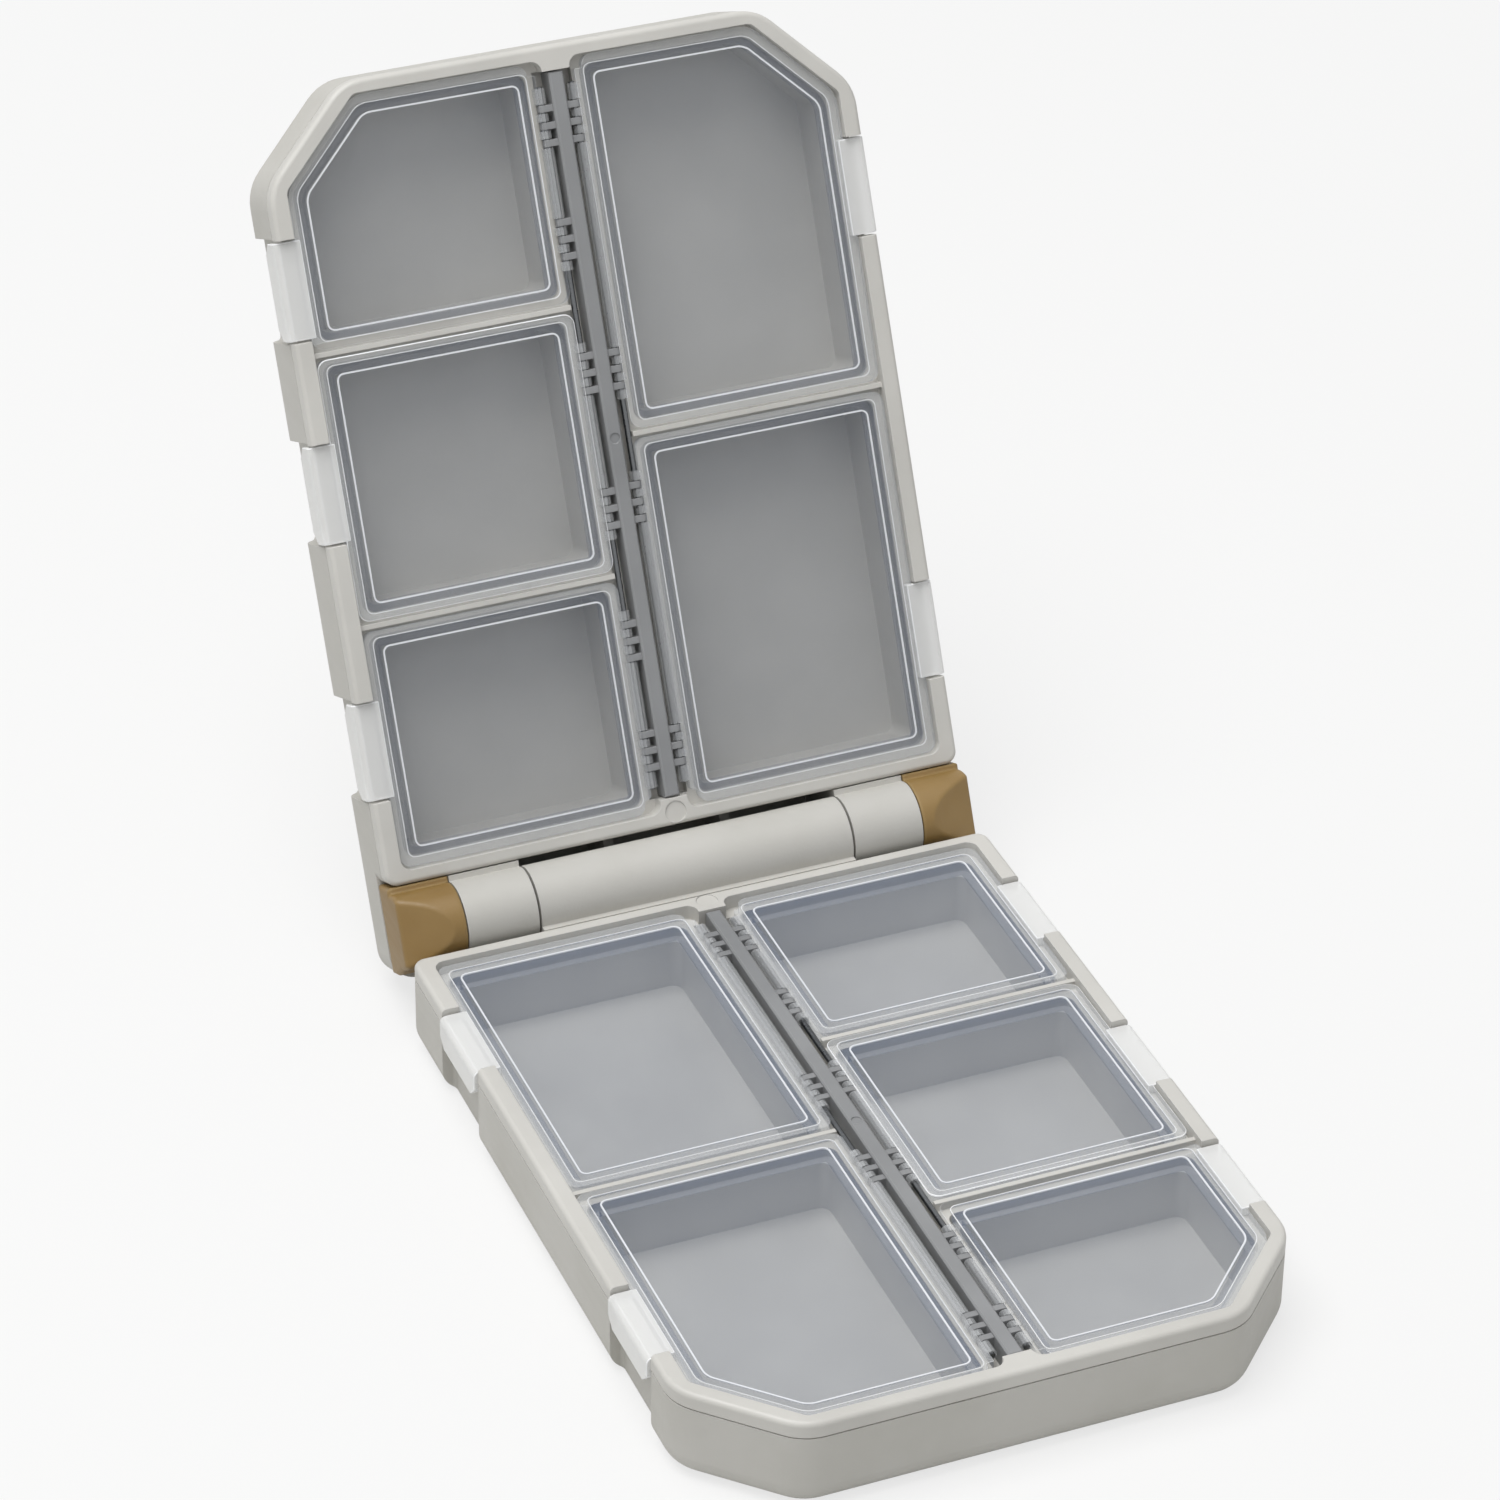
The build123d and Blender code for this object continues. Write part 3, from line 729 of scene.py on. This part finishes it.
def roll_spans(window, first, last):
    """The lengths of roll that the bar's lugs leave."""
    start = window[0] + (ROLL_INSET_OUTER - LAP if first else ROLL_INSET_INNER - LAP_NEXT)
    end = window[1] - (ROLL_INSET_OUTER - LAP if last else ROLL_INSET_INNER - LAP_NEXT)
    near = LUG_FROM_OUTER if first else LUG_FROM_INNER
    far = LUG_FROM_OUTER if last else LUG_FROM_INNER
    lugs = [start + near + LUG_PITCH * k for k in range(LUG_COUNT)]
    lugs += [end - far - LUG_PITCH * k for k in reversed(range(LUG_COUNT))]
    cuts = [start] + [y + s * LUG_SLOT / 2 for y in lugs for s in (-1, 1)] + [end]
    return list(zip(cuts[::2], cuts[1::2]))


def lid_roll(side, spans):
    """The roll round the pin, in the lengths that stand between the bar's lugs."""
    bm = bmesh.new()
    for start, end in spans:
        length, middle = end - start, (start + end) / 2
        roll = bmesh.ops.create_cone(
            bm,
            cap_ends=True,
            segments=ROLL_SEGMENTS,
            radius1=ROLL_R,
            radius2=ROLL_R,
            depth=length,
        )["verts"]
        bmesh.ops.rotate(bm, verts=roll, matrix=Matrix.Rotation(math.pi / 2, 3, "X"))
        bmesh.ops.translate(bm, verts=roll, vec=(side * PIN_X, middle, PIN_Z))
        neck = bmesh.ops.create_cube(bm, size=1.0)["verts"]
        bmesh.ops.scale(bm, verts=neck, vec=(NECK_OUT - PIN_X, length, NECK_THICK))
        neck_x, neck_z = side * (PIN_X + NECK_OUT) / 2, LID_TOP + NECK_PROUD - NECK_THICK / 2
        bmesh.ops.translate(bm, verts=neck, vec=(neck_x, middle, neck_z))
    # The roll and its necks take the paler border copy, painted light.
    for face in bm.faces:
        face.material_index = PAINTED_LIGHT_BORDER
    return bm


print("roll", 2 * ROLL_R, "mm thick, with", 2 * LUG_COUNT, "gaps for lugs in each lid")

# %% [markdown]
# ## Putting the lids together
# A real lid is one piece of plastic, so its mouldings are poured into one mesh. The half's matrix
# goes into the mesh as well, and the object itself stays at the origin, as a CAD node's does. Each
# lid is handed to its own body, the one named after the CAD lid that it stands for, so it moves
# with that body, and the CAD lid is hidden. The ten lids differ in length, tab and corners, so each
# is built from its window rather than copied from another.

# %% Make the ten lids


def pour(bm, whole):
    """Add one finished moulding to the whole mesh and free it."""
    scratch = bpy.data.meshes.new("scratch")
    bm.to_mesh(scratch)
    bm.free()
    whole.from_mesh(scratch)
    bpy.data.meshes.remove(scratch)


def finish_piece(whole, name, place, materials, body, replaced):
    """Turn a mesh into a placed object that rides on its body and stands for its CAD node."""
    bmesh.ops.transform(whole, matrix=place, verts=whole.verts[:])
    mesh = bpy.data.meshes.new(name)
    whole.to_mesh(mesh)
    whole.free()
    for material in materials:
        mesh.materials.append(material)
    piece = bpy.data.objects.new(name, mesh)
    bpy.context.scene.collection.objects.link(piece)
    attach(piece, body)
    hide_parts(replaced)
    return piece


lids = []
for half, place in half_places.items():
    for side, size, windows in ((-1, "small", SMALL_WINDOWS), (1, "large", LARGE_WINDOWS)):
        for where, window in windows.items():
            first, last = where == "inner", where == "outer"
            whole = bmesh.new()
            pour(lid_plate(side, window, first, last), whole)
            pour(lid_rib(side, window, last), whole)
            pour(lid_tab(side, window), whole)
            pour(lid_roll(side, roll_spans(window, first, last)), whole)
            for width, grow in LINES:
                pour(bright_line(side, window, last, width, grow), whole)
            node = f"{half}_{size}_lid_{where}"
            name = f"{node}_clear"
            lids.append(finish_piece(whole, name, place, lid_finishes, node, node))
print("made", len(lids), "lids,", sum(len(o.data.polygons) for o in lids), "faces")

# %% [markdown]
# ## Floor
# The box was photographed on white in soft light. A large pale floor catches its shadow. For rays
# straight from the camera the floor is close to white, so the background stays pale. More light
# would whiten it as well, but it would wash out the pale plastic.

# %% Floor
FLOOR_HALF, WHITE_SHARE = 3.0, 0.72
floor_mesh = bpy.data.meshes.new("floor")
bm = bmesh.new()
bmesh.ops.create_grid(bm, x_segments=1, y_segments=1, size=FLOOR_HALF)
bm.to_mesh(floor_mesh)
bm.free()
floor = bpy.data.objects.new("floor", floor_mesh)
bpy.context.scene.collection.objects.link(floor)
paper, tree, output, _ = new_material("paper_sweep_white")
light_path = add_node(tree, "ShaderNodeLightPath")
matte = add_node(tree, "ShaderNodeBsdfDiffuse", {"Color": linear("#DEDEDC")})
glow = add_node(tree, "ShaderNodeEmission", {"Color": linear("#FFFFFF"), "Strength": 1.0})
seen = add_node(
    tree,
    "ShaderNodeMath",
    {"operation": "MULTIPLY", 1: WHITE_SHARE},
    {0: light_path.outputs["Is Camera Ray"]},
)
blend = add_node(
    tree,
    "ShaderNodeMixShader",
    links={"Fac": seen.outputs["Value"], 1: matte.outputs["BSDF"], 2: glow.outputs["Emission"]},
)
tree.links.new(blend.outputs["Shader"], output.inputs["Surface"])
floor_mesh.materials.append(paper)
print("floor", 2 * FLOOR_HALF, "m wide, in", paper.name)

# %% [markdown]
# ## World
# The even light of the world reaches into every compartment. To the camera, to mirrors and through
# clear plastic the same world is white, so that all of them show the pale background. Light Path
# tells these rays apart, where a white dome round the box would also light it.

# %% World
WORLD_STRENGTH = 0.39
world = bpy.data.worlds.new("studio")
world.use_nodes = True
tree = world.node_tree
tree.nodes.clear()
output = add_node(tree, "ShaderNodeOutputWorld")
light_path = add_node(tree, "ShaderNodeLightPath")
soft, white = (
    add_node(tree, "ShaderNodeBackground", {"Color": linear(code), "Strength": strength})
    for code, strength in (("#FBFCFF", WORLD_STRENGTH), ("#FFFFFF", 1.0))
)
mirror_or_eye = add_node(
    tree,
    "ShaderNodeMath",
    {"operation": "MAXIMUM"},
    {0: light_path.outputs["Is Camera Ray"], 1: light_path.outputs["Is Glossy Ray"]},
)
either = add_node(
    tree,
    "ShaderNodeMath",
    {"operation": "MAXIMUM"},
    {0: mirror_or_eye.outputs["Value"], 1: light_path.outputs["Is Transmission Ray"]},
)
blend = add_node(
    tree,
    "ShaderNodeMixShader",
    links={
        "Fac": either.outputs["Value"],
        1: soft.outputs["Background"],
        2: white.outputs["Background"],
    },
)
tree.links.new(blend.outputs["Shader"], output.inputs["Surface"])
bpy.context.scene.world = world
print("world strength", WORLD_STRENGTH)

# %% [markdown]
# ## Lamps
# Upward faces of the box are the brightest, and the faces towards the viewer get a little over
# half as much light. So a wide lamp hangs above the box, a little to the left and behind, and a
# weak lamp high in front lights the standing half. Both are wide area lamps, because a small lamp
# would draw hard shadows that the photograph doesn't have.

# %% Lamps
LAMP_AIM = Vector((0, 0, 0.04))


def soft_box(name, place, watts, size):
    """A square area lamp aimed at the middle of the box."""
    data = bpy.data.lights.new(name, "AREA")
    data.energy = watts
    data.size = size
    lamp = bpy.data.objects.new(name, data)
    lamp.location = place
    lamp.rotation_euler = (LAMP_AIM - Vector(place)).to_track_quat("-Z", "Y").to_euler()
    bpy.context.scene.collection.objects.link(lamp)
    return lamp


lamps = [
    soft_box("above", (-0.3, 0.05, 1.2), watts=11.7, size=0.8),
    soft_box("front", (-0.5, -0.75, 1.3), watts=2.4, size=0.7),
]
print("lamps:", [lamp.name for lamp in lamps])
